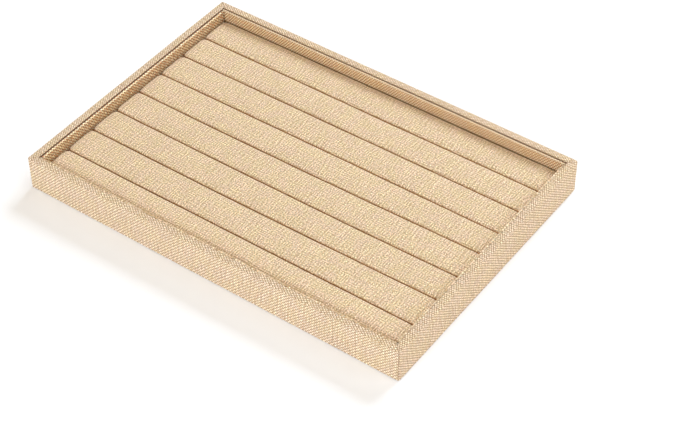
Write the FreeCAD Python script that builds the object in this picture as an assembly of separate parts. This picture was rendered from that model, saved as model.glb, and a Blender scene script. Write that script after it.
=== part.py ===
import FreeCAD, Part
import math
import os

# Linen-covered jewelry tray with a ring pad of padded rolls that lifts out.
# Millimetres. +X runs along the length, +Y to the rear, +Z up. The origin is under the middle of the tray.

# Overall size, over the linen
tray_length = 345.0
tray_width = 240.0
tray_height = 30.0

# Thickness of each sheet
linen = 0.6
felt = 0.5
wall_board = 4.8
base_board = 3.0
liner_card = 0.5
pad_card = 1.5

# Joinery: the base sits in a rebate of the walls, and the short walls in one of the long walls
base_rebate = 2.4
corner_rebate = 2.4
base_fit = 0.1
pin_diameter = 1.0
pin_length = 14.0
pin_fit = 0.02
pin_height_shares = (0.32, 0.72)

# Turnings of the linen, and the felt that covers the ones under the base
rim_turn_in = 14.0
base_turn_under = 12.0
liner_turn_over = 10.0
sleeve_turn_under = 6.0
felt_margin = 2.5
felt_fit = 0.1

# Roundings of the covered edges
corner_radius = 1.0
rim_radius = 0.6
liner_edge_radius = 0.5

# Lining strips inside the walls: how far their tops stand below the rim, and the gap left round them
liner_drop = 1.2
liner_fit = 0.7

# Ring pad: rolls side by side on a card, with a closed slot between each two
roll_count = 8
roll_height = 14.7
slot_gap = 0.5
pad_fit = 0.3
crown_radius = 60.0
shoulder_radius = 1.6
roll_end_radius = 1.2
sleeve_fit = 0.05

# How far a cut runs past the face that it starts from
overrun = 1.0
# Room round a box that picks out edges
pick_room = 0.01

up = FreeCAD.Vector(0, 0, 1)
along = FreeCAD.Vector(1, 0, 0)
rearward = FreeCAD.Vector(0, 1, 0)
centre = FreeCAD.Vector(0, 0, 0)
half_turn_degrees = 180

# Heights, from the floor that the tray stands on
board_bottom = felt + linen
board_top = tray_height - linen
base_top = board_bottom + base_board
floor_top = base_top + linen
liner_top = tray_height - liner_drop
liner_card_top = liner_top - linen
pad_top = floor_top + pad_card

# Distances of the faces from the tray's outside, going in
board_face = linen
rim_inside = linen + wall_board
rim_linen_inside = rim_inside + linen
lining_back = rim_linen_inside + liner_fit
card_back = lining_back + linen
card_front = card_back + liner_card
lining_face = card_front + linen
base_edge = rim_inside - base_rebate
lap_face = rim_inside - corner_rebate
pad_edge = lining_face + pad_fit

# Rolls share the width of the pad
pad_length = tray_length - 2 * pad_edge
pad_width = tray_width - 2 * pad_edge
roll_pitch = (pad_width + slot_gap) / roll_count
roll_width = roll_pitch - slot_gap


def block(low, high):
    """Box between two opposite corners, each (x, y, z)."""
    size = [far - near for near, far in zip(low, high)]
    return Part.makeBox(*size, FreeCAD.Vector(*low))


def slab(inset, bottom, top):
    """Upright block over the tray's outline, drawn in by inset on all four sides."""
    half_length = tray_length / 2 - inset
    half_width = tray_width / 2 - inset
    return block((-half_length, -half_width, bottom), (half_length, half_width, top))


def frame(outer_inset, inner_inset, bottom, top):
    """Rectangular ring between two insets from the tray's outline."""
    hole = slab(inner_inset, bottom - overrun, top + overrun)
    return slab(outer_inset, bottom, top).cut(hole)


def edges_between(shape, low, high):
    """Edges of a shape that lie inside the box between two corners."""
    room = FreeCAD.Vector(pick_room, pick_room, pick_room)
    box = FreeCAD.BoundBox(FreeCAD.Vector(*low) - room, FreeCAD.Vector(*high) + room)
    return [edge for edge in shape.Edges if box.isInside(edge.BoundBox)]


def turned(shape):
    """Copy of a piece, turned half round to the opposite side of the tray."""
    copy = shape.copy()
    copy.rotate(centre, up, half_turn_degrees)
    return copy


def pin_axes():
    """Start and direction of each corner pin: through a long wall, into the end of a short one."""
    reach = tray_length / 2 - board_face - wall_board / 2
    face = tray_width / 2 - board_face
    axes = []
    for share in pin_height_shares:
        height = board_bottom + share * (board_top - board_bottom)
        for x in (-reach, reach):
            axes.append((FreeCAD.Vector(x, -face, height), rearward))
            axes.append((FreeCAD.Vector(x, face, height), -rearward))
    return axes


def pins(diameter):
    """All the corner pins at a given diameter, as separate solids."""
    return [Part.makeCylinder(diameter / 2, pin_length, start, way) for start, way in pin_axes()]


def drilled(shape):
    """Wall with the holes of the corner pins."""
    return shape.cut(pins(pin_diameter + 2 * pin_fit))


def base_panel():
    """Floor board, let into the rebates at the foot of the walls."""
    return slab(base_edge + base_fit, board_bottom, base_top)


def front_wall():
    """Long wall with a rebate for the base and one at each end for a short wall."""
    end = tray_length / 2 - board_face
    outside = tray_width / 2 - board_face
    inside = tray_width / 2 - rim_inside
    wall = block((-end, -outside, board_bottom), (end, -inside, board_top))
    base_room = slab(base_edge, board_bottom - overrun, base_top)
    corner_room = block(
        (tray_length / 2 - rim_inside, lap_face - tray_width / 2, board_bottom - overrun),
        (end + overrun, overrun - inside, board_top + overrun),
    )
    other_room = corner_room.mirror(centre, along)
    return drilled(wall.cut([base_room, corner_room, other_room]))


def left_wall():
    """Short wall, standing in the end rebates of the long walls, with its own rebate for the base."""
    outside = tray_length / 2 - board_face
    inside = tray_length / 2 - rim_inside
    end = tray_width / 2 - lap_face
    wall = block((-outside, -end, board_bottom), (-inside, end, board_top))
    base_room = slab(base_edge, board_bottom - overrun, base_top)
    return drilled(wall.cut(base_room))


def outer_linen():
    """Linen band: up the outside, over the rim, down inside the walls, and turned under the base."""
    cover = slab(0, felt, tray_height)
    uprights = [edge for edge in cover.Edges if abs(edge.tangentAt(edge.FirstParameter).z) > abs(up.z) / 2]
    cover = cover.makeFillet(corner_radius, uprights)
    half_length = tray_length / 2
    half_width = tray_width / 2
    rims = []
    for height in (felt, tray_height):
        rims += edges_between(cover, (-half_length, -half_width, height), (half_length, half_width, height))
    cover = cover.makeFillet(rim_radius, rims)
    cover = cover.cut(
        [
            frame(board_face, rim_inside, board_bottom, board_top),
            slab(rim_linen_inside, board_bottom, tray_height + overrun),
            slab(rim_inside, board_bottom, tray_height - rim_turn_in),
            slab(board_face + base_turn_under, felt - overrun, board_bottom + overrun),
        ]
    )
    inner_length = half_length - rim_linen_inside
    inner_width = half_width - rim_linen_inside
    inner_rim = edges_between(
        cover,
        (-inner_length, -inner_width, tray_height),
        (inner_length, inner_width, tray_height),
    )
    return cover.makeFillet(rim_radius, inner_rim)


def underside_felt():
    """Cover sheet under the base: flat over the turned linen, and pressed up to the board inside it."""
    step = board_face + base_turn_under + felt_fit
    border = slab(felt_margin, 0, felt)
    middle = slab(step, 0, board_bottom)
    recess = slab(step + felt, -overrun, linen)
    return border.fuse(middle).cut(recess).removeSplitter()


def floor_lining():
    """Linen on the inside floor, under the linings and the ring pad."""
    return slab(rim_inside + base_fit, base_top, floor_top)


def liner_strip(back, face, bottom, top, short):
    """Upright strip between two insets: the front one runs the full length, the left one stops at it."""
    half_length = tray_length / 2
    half_width = tray_width / 2
    if short:
        end = half_width - lining_face - liner_fit
        return block((back - half_length, -end, bottom), (face - half_length, end, top))
    end = half_length - lining_back
    return block((-end, back - half_width, bottom), (end, face - half_width, top))


def liner_card_strip(short):
    """Card that stiffens a lining."""
    return liner_strip(card_back, card_front, floor_top, liner_card_top, short)


def liner_linen(short):
    """Linen of a lining: up the card's face, over its top edge and a little way down its back."""
    cover = liner_strip(lining_back, lining_face, floor_top, liner_top, short)
    box = cover.BoundBox
    length = max(box.XLength, box.YLength)
    tops = edges_between(cover, (box.XMin, box.YMin, liner_top), (box.XMax, box.YMax, liner_top))
    long_tops = [edge for edge in tops if edge.Length > length - overrun]
    cover = cover.makeFillet(liner_edge_radius, long_tops)
    card = liner_card_strip(short)
    bare_back = liner_strip(lining_back, card_back, floor_top, liner_top - liner_turn_over, short)
    return cover.cut([card, bare_back])


def roll_profile(inset):
    """Closed section of a roll across its length: flat foot, upright sides, round shoulders and a crown."""
    half = roll_width / 2 - inset
    foot = pad_top + inset
    crown = pad_top + roll_height - inset
    shoulder = shoulder_radius - inset
    arch = crown_radius - inset
    arch_centre = crown - arch
    shoulder_y = half - shoulder
    tilt = math.asin(shoulder_y / (arch - shoulder))
    shoulder_z = arch_centre + (arch - shoulder) * math.cos(tilt)
    middle = (math.pi / 2 - tilt) / 2
    meet = (arch * math.sin(tilt), arch_centre + arch * math.cos(tilt))
    bulge = (shoulder_y + shoulder * math.cos(middle), shoulder_z + shoulder * math.sin(middle))

    def at(y, z):
        return FreeCAD.Vector(0, y, z)

    edges = [
        Part.LineSegment(at(-half, foot), at(half, foot)),
        Part.LineSegment(at(half, foot), at(half, shoulder_z)),
        Part.Arc(at(half, shoulder_z), at(*bulge), at(*meet)),
        Part.Arc(at(*meet), at(0, crown), at(-meet[0], meet[1])),
        Part.Arc(at(-meet[0], meet[1]), at(-bulge[0], bulge[1]), at(-half, shoulder_z)),
        Part.LineSegment(at(-half, shoulder_z), at(-half, foot)),
    ]
    return Part.Face(Part.Wire([edge.toShape() for edge in edges]))


def roll_form(inset):
    """Roll centred on the tray, drawn in by inset all round, its ends rounded except at the foot."""
    half_length = pad_length / 2 - inset
    face = roll_profile(inset)
    face.translate(-half_length * along)
    roll = face.extrude(2 * half_length * along)
    ends = []
    for edge in roll.Edges:
        box = edge.BoundBox
        upright = box.XLength < pick_room
        at_foot = box.ZMax < pad_top + inset + pick_room
        if upright and not at_foot:
            ends.append(edge)
    return roll.makeFillet(roll_end_radius - inset, ends)


def roll_core():
    """Foam strip inside a roll."""
    return roll_form(linen + sleeve_fit)


def roll_sleeve():
    """Linen sleeve of a roll, drawn over its ends and turned under at the foot."""
    half_length = pad_length / 2 - sleeve_turn_under
    half_width = roll_width / 2 - sleeve_turn_under
    opening = block(
        (-half_length, -half_width, pad_top - overrun),
        (half_length, half_width, pad_top + linen),
    )
    return roll_form(0).cut([roll_form(linen), opening])


def pad_board():
    """Backing card of the ring pad."""
    return slab(pad_edge, floor_top, pad_top)


def roll_places():
    """Distance of each roll from the middle of the tray, front to rear."""
    first = -roll_pitch * (roll_count - 1) / 2
    return [first + roll_pitch * index for index in range(roll_count)]


def write(node, shape):
    """Save a piece under its node's name."""
    shape.exportStep(os.path.join("parts", node + ".step"))


def write_pair(nodes, shape):
    """Save a piece of the front or left side and its twin on the opposite side."""
    first, opposite = nodes
    write(first, shape)
    write(opposite, turned(shape))


def main():
    os.makedirs("parts", exist_ok=True)
    write("base_panel", base_panel())
    write_pair(("front_wall", "rear_wall"), front_wall())
    write_pair(("left_wall", "right_wall"), left_wall())
    write("corner_pins", Part.makeCompound(pins(pin_diameter)))
    write("outer_linen", outer_linen())
    write("underside_felt", underside_felt())
    write("floor_lining", floor_lining())
    for short, sides in ((False, ("front", "rear")), (True, ("left", "right"))):
        write_pair([side + "_liner_card" for side in sides], liner_card_strip(short))
        write_pair([side + "_liner_linen" for side in sides], liner_linen(short))
    write("pad_board", pad_board())
    core = roll_core()
    sleeve = roll_sleeve()
    for number, place in enumerate(roll_places(), start=1):
        write(f"roll_core_{number}", core.translated(place * rearward))
        write(f"roll_sleeve_{number}", sleeve.translated(place * rearward))


main()
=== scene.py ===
"""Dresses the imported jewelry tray.

Coarse linen covers its boards, linings and padded rolls, in a soft white studio.
"""

import logging
import math
from dataclasses import dataclass, replace
from enum import Enum

import bpy
import numpy as np
from mathutils import Matrix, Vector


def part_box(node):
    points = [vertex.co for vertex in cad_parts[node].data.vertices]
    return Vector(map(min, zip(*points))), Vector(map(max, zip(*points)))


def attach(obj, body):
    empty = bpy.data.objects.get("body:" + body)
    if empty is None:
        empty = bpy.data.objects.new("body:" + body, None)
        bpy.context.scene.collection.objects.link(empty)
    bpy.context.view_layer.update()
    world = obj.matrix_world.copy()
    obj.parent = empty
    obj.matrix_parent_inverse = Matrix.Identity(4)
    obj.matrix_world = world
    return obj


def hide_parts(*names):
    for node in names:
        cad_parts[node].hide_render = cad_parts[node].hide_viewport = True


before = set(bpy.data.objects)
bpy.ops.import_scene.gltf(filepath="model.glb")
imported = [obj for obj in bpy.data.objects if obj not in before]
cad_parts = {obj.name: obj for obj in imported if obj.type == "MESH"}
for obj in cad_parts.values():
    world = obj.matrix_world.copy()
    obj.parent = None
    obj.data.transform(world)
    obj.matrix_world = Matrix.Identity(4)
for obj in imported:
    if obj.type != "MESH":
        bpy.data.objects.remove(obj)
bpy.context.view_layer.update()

log = logging.getLogger("jewelry_tray")

MM = 0.001
YARN_MAP = "yarns"
SHADE = "shade"
ROLL_COUNT = 8

# Sideways bend of each slot in mm at its left end, middle and right end, from front to rear.
# The first and the last are the pad's own long edges.
SLOT_BENDS = (
    (0.9, 0.9, 0.9),
    (-2.5, -1.8, -0.5),
    (-1.4, -1.0, 1.7),
    (-0.9, -1.0, 1.3),
    (-1.2, -0.3, 2.8),
    (-1.5, -0.3, 0.4),
    (-1.2, 0.0, 0.5),
    (-0.7, -0.6, 0.0),
    (-0.6, -0.6, -0.6),
)

Colour = tuple[float, float, float]
Pair = tuple[float, float]
Array = np.ndarray


class Body(Enum):
    """Moving bodies of the frame."""

    TRAY = "tray"
    RING_PAD = "ring_pad"


class Slot(Enum):
    """Material slots of the record."""

    FIBREBOARD = "fibreboard"
    PIN_STEEL = "pin_steel"
    LINEN = "linen"
    FELT = "felt"
    GREY_CARD = "grey_card"
    FOAM = "foam"


class Side(Enum):
    """Sides of the tray, each with its direction along the wall and its outward direction."""

    FRONT = ((1.0, 0.0), (0.0, -1.0))
    RIGHT = ((0.0, 1.0), (1.0, 0.0))
    REAR = ((-1.0, 0.0), (0.0, 1.0))
    LEFT = ((0.0, -1.0), (-1.0, 0.0))

    @property
    def word(self) -> str:
        """Name of the side in lower case."""
        return self.name.lower()

    @property
    def is_long(self) -> bool:
        """Whether this side runs along the tray's length."""
        return self in (Side.FRONT, Side.REAR)

    def place(self, along: Array, out: Array, up: Array) -> Array:
        """Puts points of this side into the frame.

        Args:
            along: Distance along the wall from its middle.
            out: Distance outwards from the tray's middle.
            up: Height.

        Returns:
            Points of shape (..., 3), from the three arrays broadcast together.
        """
        way, outward = (np.array(pair) for pair in self.value)
        along, out, up = np.broadcast_arrays(along, out, up)
        flat = along[..., None] * way + out[..., None] * outward
        return np.concatenate([flat, up[..., None]], axis=-1)


def linear(red: int, green: int, blue: int) -> Colour:
    """Scene-linear colour of an sRGB colour, by the sRGB curve.

    Args:
        red: Level of red, from 0 to 255.
        green: Level of green.
        blue: Level of blue.

    Returns:
        The colour.
    """
    levels = np.array([red, green, blue]) / 255
    low = levels / 12.92
    high = ((levels + 0.055) / 1.055) ** 2.4
    return tuple(float(x) for x in np.where(levels <= 0.04045, low, high))


class Signal:
    """A shader value, so that arithmetic on it adds Math nodes to its tree."""

    def __init__(self, tree: "Tree", socket: bpy.types.NodeSocket) -> None:
        """Wraps an output socket of a tree."""
        self.tree = tree
        self.socket = socket

    def __add__(self, other: "Signal | float") -> "Signal":
        """Sum."""
        return self.tree.math("ADD", self, other)

    def __radd__(self, other: float) -> "Signal":
        """Sum, reflected."""
        return self.tree.math("ADD", other, self)

    def __sub__(self, other: "Signal | float") -> "Signal":
        """Difference."""
        return self.tree.math("SUBTRACT", self, other)

    def __rsub__(self, other: float) -> "Signal":
        """Difference, reflected."""
        return self.tree.math("SUBTRACT", other, self)

    def __mul__(self, other: "Signal | float") -> "Signal":
        """Product."""
        return self.tree.math("MULTIPLY", self, other)

    def __rmul__(self, other: float) -> "Signal":
        """Product, reflected."""
        return self.tree.math("MULTIPLY", other, self)

    def __truediv__(self, other: "Signal | float") -> "Signal":
        """Quotient."""
        return self.tree.math("DIVIDE", self, other)

    def __gt__(self, other: "Signal | float") -> "Signal":
        """1 where this is greater, else 0."""
        return self.tree.math("GREATER_THAN", self, other)

    def floor(self) -> "Signal":
        """Whole number below."""
        return self.tree.math("FLOOR", self)

    def fraction(self) -> "Signal":
        """Part after the whole number below."""
        return self.tree.math("FRACT", self)

    def cosine(self) -> "Signal":
        """Cosine of an angle in radians."""
        return self.tree.math("COSINE", self)

    def larger(self, other: "Signal | float") -> "Signal":
        """The larger of two values."""
        return self.tree.math("MAXIMUM", self, other)

    def root(self) -> "Signal":
        """Square root, of zero where this is negative."""
        return self.tree.math("SQRT", self.larger(0.0))

    def smooth(self, low: float, high: float) -> "Signal":
        """Smooth step from 0 at low to 1 at high."""
        settings, inputs = {"interpolation_type": "SMOOTHSTEP"}, {0: self, 1: low, 2: high}
        return self.tree.signal(0, "ShaderNodeMapRange", settings, inputs)


class Tree:
    """Node tree of one material or of the world."""

    def __init__(self, owner: bpy.types.ID) -> None:
        """Empties the owner's node tree and takes it over.

        Args:
            owner: The material or world.
        """
        owner.use_nodes = True
        self.owner = owner
        self.tree = owner.node_tree
        self.tree.nodes.clear()

    @classmethod
    def of_material(cls, name: str) -> "Tree":
        """Tree of a new material."""
        return cls(bpy.data.materials.new(name))

    def node(
        self, kind: str, settings: dict | None = None, inputs: dict | None = None
    ) -> bpy.types.Node:
        """Adds a node.

        Args:
            kind: Blender's name of the node's type.
            settings: Attributes of the node, set first.
            inputs: Value, Signal or socket for each input, by its name or number.

        Returns:
            The new node.
        """
        made = self.tree.nodes.new(kind)
        for name, value in (settings or {}).items():
            setattr(made, name, value)
        for key, value in (inputs or {}).items():
            socket = made.inputs[key]
            value = value.socket if isinstance(value, Signal) else value
            if isinstance(value, bpy.types.NodeSocket):
                self.tree.links.new(value, socket)
            elif socket.type == "RGBA" and not isinstance(value, float):
                socket.default_value = (*value, 1.0)
            else:
                socket.default_value = value
        return made

    def signal(
        self,
        output: int | str,
        kind: str,
        settings: dict | None = None,
        inputs: dict | None = None,
    ) -> Signal:
        """Adds a node and wraps one of its outputs."""
        return Signal(self, self.node(kind, settings, inputs).outputs[output])

    def math(self, operation: str, *values: Signal | float) -> Signal:
        """Adds a Math node and gives its result."""
        return self.signal(0, "ShaderNodeMath", {"operation": operation}, dict(enumerate(values)))

    def mix(self, factor: object, first: object, second: object, blend: str = "MIX") -> Signal:
        """Mixes two colours.

        Args:
            factor: Share of the second colour.
            first: Colour or Signal.
            second: Colour or Signal.
            blend: How the second colour goes over the first.

        Returns:
            The mixed colour.
        """
        settings = {"data_type": "RGBA", "blend_type": blend}
        return self.signal(2, "ShaderNodeMix", settings, {0: factor, 6: first, 7: second})

    def times(self, first: object, second: object) -> Signal:
        """Product of two colours."""
        return self.mix(1.0, first, second, "MULTIPLY")

    def vector(self, x: Signal, y: Signal) -> Signal:
        """Joins two values into a vector with a third of zero."""
        return self.signal(0, "ShaderNodeCombineXYZ", {}, {0: x, 1: y})

    def parts(self, whole: object, kind: str = "ShaderNodeSeparateColor") -> list[Signal]:
        """Splits a colour, or a vector by its own kind of node, into three values."""
        return [Signal(self, output) for output in self.node(kind, {}, {0: whole}).outputs]

    def noise(
        self, place: object, scale: float, detail: float = 2.0, flat: bool = True, output: int = 0
    ) -> Signal:
        """Noise texture over two dimensions or three.

        Args:
            place: Where it is read.
            scale: Its scale.
            detail: How many finer layers it has.
            flat: Whether it has two dimensions.
            output: 0 for its value, from 0 to 1 about a half, or 1 for its colour.

        Returns:
            The value or the colour.
        """
        settings = {"noise_dimensions": "2D" if flat else "3D"}
        inputs = {"Vector": place, "Scale": scale, "Detail": detail}
        return self.signal(output, "ShaderNodeTexNoise", settings, inputs)

    def bump(self, height: Signal, distance: float) -> bpy.types.NodeSocket:
        """Normal of a surface raised by height times distance."""
        inputs = {"Height": height, "Distance": distance}
        return self.node("ShaderNodeBump", {}, inputs).outputs["Normal"]

    def principled(self, inputs: dict) -> bpy.types.Material:
        """Ends a material with a Principled shader.

        Args:
            inputs: Values and links of the shader's sockets.

        Returns:
            The finished material.
        """
        shader = self.node("ShaderNodeBsdfPrincipled", {}, inputs)
        self.node("ShaderNodeOutputMaterial", {}, {"Surface": shader.outputs["BSDF"]})
        return self.owner


@dataclass(frozen=True)
class LinenFinish:
    """Coarse plain weave of uneven flax yarns, read from the yarn map, where one unit is one yarn.

    The piece's shade attribute holds painted shade up to 1, in seams and narrow gaps, which
    darkens it towards its deep colour, and a painted highlight below 0, which makes it paler.
    """

    warp_light: Colour = linear(255, 238, 206)
    warp_dark: Colour = linear(204, 170, 130)
    weft_light: Colour = linear(243, 216, 178)
    weft_dark: Colour = linear(203, 169, 128)
    pore: Colour = linear(84, 52, 26)
    # Colour that the cloth is multiplied by at full painted shade.
    deep: Colour = (0.46, 0.20, 0.002)
    pink: Colour = (1.0, 0.975, 1.01)
    straw: Colour = (0.99, 1.0, 0.93)
    half_width: float = 0.48
    thinnest: float = 0.84
    thickening: float = 0.30
    wave_share: float = 0.45
    wander: float = 0.5
    contrast: float = 1.3
    warp_rise: float = 1.0
    jitter: float = 0.7
    mottle: float = 0.45
    pore_reach: float = 0.42
    relief: float = 0.40 * MM
    roughness: float = 0.86
    pore_roughness: float = 0.10
    specular: float = 0.25
    sheen: float = 0.12
    sheen_roughness: float = 0.5
    warp_seed: float = 3.7
    weft_seed: float = 9.1
    wander_scale: float = 0.06
    slub_scale: float = 0.13
    cloud_scale: float = 0.07
    hue_scale: float = 0.11
    fibre_scales: Pair = (1.4, 6.4)
    fibre_relief: float = 0.2
    base_tone: float = 0.74
    fibre_tone: float = 0.36
    cloud_tone: float = 0.12
    tone_span: Pair = (0.25, 0.75)
    hue_span: Pair = (0.3, 0.7)

    def material(self, name: str) -> bpy.types.Material:
        """Makes the weave.

        Each yarn is round across and waves over and under its neighbours: its height is its
        roundness times a mean and a cosine whose sign changes from crossing to crossing. The
        higher yarn shows.

        Args:
            name: Name of the material.

        Returns:
            The material.
        """
        tree = Tree.of_material(name)
        yarns = tree.node("ShaderNodeUVMap", {"uv_map": YARN_MAP}).outputs["UV"]
        drift = tree.parts(tree.noise(yarns, self.wander_scale, 1.0, output=1))
        across, along = (
            straight + self.wander * (aside - 0.5)
            for straight, aside in zip(tree.parts(yarns, "ShaderNodeSeparateXYZ")[:2], drift)
        )
        warp_number = across.floor()
        weft_number = along.floor()
        warp_tone, warp_shift = self.yarn_tone(tree, warp_number, along, self.warp_seed)
        weft_tone, weft_shift = self.yarn_tone(tree, weft_number, across, self.weft_seed)
        warp_place = across - warp_number - warp_shift
        weft_place = along - weft_number - weft_shift
        over = 1.0 - 4.0 * ((warp_number + weft_number) * 0.5).fraction()
        warp_wave = over * (weft_place * math.pi).cosine()
        weft_wave = -1.0 * over * (warp_place * math.pi).cosine()
        warp = self.warp_rise * self.yarn_height(warp_place, warp_tone, warp_wave)
        weft = self.yarn_height(weft_place, weft_tone, weft_wave)
        warp_shows = warp > weft
        height = warp.larger(weft)
        long, fine = self.fibre_scales
        change = (fine - long) * warp_shows
        fibres = tree.noise(tree.vector(across * (long + change), along * (fine - change)), 1.0)
        cloud = tree.noise(yarns, self.cloud_scale)
        spot = self.crossing_tone(tree, warp_number, weft_number)
        tone = self.base_tone + self.fibre_tone * fibres + self.cloud_tone * cloud
        tone = tone * (1.0 + self.mottle * spot)
        warp_colour = tree.mix(warp_tone.smooth(*self.tone_span), self.warp_dark, self.warp_light)
        weft_colour = tree.mix(weft_tone.smooth(*self.tone_span), self.weft_dark, self.weft_light)
        colour = tree.times(tree.mix(warp_shows, weft_colour, warp_colour), tone)
        colour = tree.mix(height.smooth(0.0, self.pore_reach), self.pore, colour)
        hue = tree.noise(yarns, self.hue_scale, 1.0).smooth(*self.hue_span)
        colour = tree.times(colour, tree.mix(hue, self.pink, self.straw))
        shade = tree.signal("Fac", "ShaderNodeAttribute", {"attribute_name": SHADE})
        # Painted shade: the shade attribute darkens the cloth towards its deep colour.
        colour = tree.mix(shade, colour, tree.times(colour, self.deep))
        return tree.principled(
            {
                # Painted highlight: a shade below zero pales the cloth towards the light warp.
                "Base Color": tree.mix(-1.0 * shade, colour, self.warp_light),
                "Roughness": self.roughness + self.pore_roughness * (1.0 - height),
                "Specular IOR Level": self.specular,
                "Sheen Weight": self.sheen,
                "Sheen Roughness": self.sheen_roughness,
                "Normal": tree.bump(height + self.fibre_relief * fibres, self.relief),
            }
        )

    def crossing_tone(self, tree: Tree, warp_number: Signal, weft_number: Signal) -> Signal:
        """Tone of each crossing.

        Args:
            tree: The material's tree.
            warp_number: Number of the warp.
            weft_number: Number of the weft.

        Returns:
            The tone about zero: a chance value less its four neighbours' mean, so no patches show.
        """
        own, right, left, above, below = (
            tree.signal(
                0,
                "ShaderNodeTexWhiteNoise",
                {"noise_dimensions": "2D"},
                {"Vector": tree.vector(warp_number + x, weft_number + y)},
            )
            for x, y in ((0.5, 0.5), (1.5, 0.5), (-0.5, 0.5), (0.5, 1.5), (0.5, -0.5))
        )
        return own - 0.25 * (right + left + above + below)

    def yarn_tone(
        self, tree: Tree, number: Signal, along: Signal, seed: float
    ) -> tuple[Signal, Signal]:
        """Tone of a yarn and the place of its middle, both changing slowly along it.

        Args:
            tree: The material's tree.
            number: Number of the yarn.
            along: Distance along the yarn, in yarns.
            seed: Keeps the two sets of yarns apart.

        Returns:
            The tone about a half, which is the yarn's own noise less its two neighbours' mean, so
            that no wide bands show, and the middle's place between the yarn's neighbours, about a
            half.
        """
        slow = along * self.slub_scale
        places = (tree.vector((number + step) * seed, slow) for step in (0.0, -1.0, 1.0))
        own, left, right = (tree.parts(tree.noise(place, 1.0, 1.0, output=1)) for place in places)
        tone = 0.5 + self.contrast * (own[0] - 0.5 * (left[0] + right[0]))
        return tone, 0.5 + self.jitter * (own[1] - 0.5)

    def yarn_height(self, place: Signal, tone: Signal, wave: Signal) -> Signal:
        """Height of a yarn from its place across, its tone, by which it thickens, and its wave."""
        share = place / (self.half_width * (self.thinnest + self.thickening * tone))
        return (1.0 - share * share).root() * (1.0 - self.wave_share + self.wave_share * wave)


@dataclass(frozen=True)
class GrainFinish:
    """Plain board, card, felt, foam or steel.

    Two noises of different size mix two colours, and the finer one raises the surface.
    """

    light: Colour
    dark: Colour
    coarse: float
    fine: float
    relief: float
    roughness: float
    metallic: float = 0.0
    stretch: float = 1.0
    broad_detail: float = 3.0
    broad_share: float = 0.45
    grain_span: Pair = (0.3, 0.7)
    uneven_roughness: float = 0.12
    specular: float = 0.3

    def material(self, name: str) -> bpy.types.Material:
        """Makes the finish in object coordinates.

        Args:
            name: Name of the material.

        Returns:
            The material.
        """
        tree = Tree.of_material(name)
        own_place = tree.node("ShaderNodeTexCoord").outputs["Object"]
        inputs = {"Vector": own_place, "Scale": (self.stretch, 1.0, 1.0)}
        place = tree.signal(0, "ShaderNodeMapping", {"vector_type": "TEXTURE"}, inputs)
        broad = tree.noise(place, self.coarse, self.broad_detail, flat=False)
        fine = tree.noise(place, self.fine, flat=False)
        grain = self.broad_share * broad + (1.0 - self.broad_share) * fine
        return tree.principled(
            {
                "Base Color": tree.mix(grain.smooth(*self.grain_span), self.dark, self.light),
                "Roughness": self.roughness + self.uneven_roughness * (fine - 0.5),
                "Metallic": self.metallic,
                "Specular IOR Level": self.specular,
                "Normal": tree.bump(fine, self.relief),
            }
        )


GRAINS = {
    Slot.FIBREBOARD: GrainFinish(
        linear(186, 150, 106),
        linear(150, 114, 74),
        coarse=260.0,
        fine=2600.0,
        relief=0.05 * MM,
        roughness=0.75,
    ),
    Slot.GREY_CARD: GrainFinish(
        linear(176, 168, 156),
        linear(140, 132, 120),
        coarse=180.0,
        fine=1800.0,
        relief=0.03 * MM,
        roughness=0.85,
    ),
    Slot.FELT: GrainFinish(
        linear(214, 184, 146),
        linear(178, 146, 106),
        coarse=420.0,
        fine=3200.0,
        relief=0.20 * MM,
        roughness=0.95,
    ),
    Slot.FOAM: GrainFinish(
        linear(246, 240, 222),
        linear(226, 216, 190),
        coarse=500.0,
        fine=1500.0,
        relief=0.25 * MM,
        roughness=0.9,
    ),
    Slot.PIN_STEEL: GrainFinish(
        linear(200, 200, 204),
        linear(160, 160, 166),
        coarse=900.0,
        fine=9000.0,
        relief=0.01 * MM,
        roughness=0.35,
        metallic=1.0,
        stretch=8.0,
    ),
}
ROLL_LINEN = LinenFinish()
COVER_LINEN = LinenFinish(
    warp_light=linear(255, 238, 208),
    warp_dark=linear(240, 214, 180),
    weft_light=linear(194, 156, 114),
    weft_dark=linear(168, 128, 88),
    deep=(0.22, 0.08, 0.002),
    pink=(0.98, 0.985, 1.04),
    straw=(0.98, 1.0, 0.97),
    contrast=0.9,
    jitter=0.45,
    mottle=0.30,
    pore_reach=0.46,
)
# The linings' tint is warmer than the rolls' linen, partly as painted bounce light from the linen
# around them.
LINING_LINEN = LinenFinish(
    warp_light=linear(255, 252, 230),
    warp_dark=linear(255, 244, 214),
    weft_light=linear(200, 128, 64),
    weft_dark=linear(178, 104, 46),
    deep=(0.22, 0.14, 0.01),
    pink=(1.04, 0.97, 0.84),
    straw=(1.04, 0.97, 0.78),
    contrast=0.9,
    warp_rise=1.25,
    jitter=0.15,
    mottle=0.20,
    pore_reach=0.14,
)
ROUGH_LINING_LINEN = replace(LINING_LINEN, contrast=1.2, jitter=0.5, mottle=0.6, wander=0.8)


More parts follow.
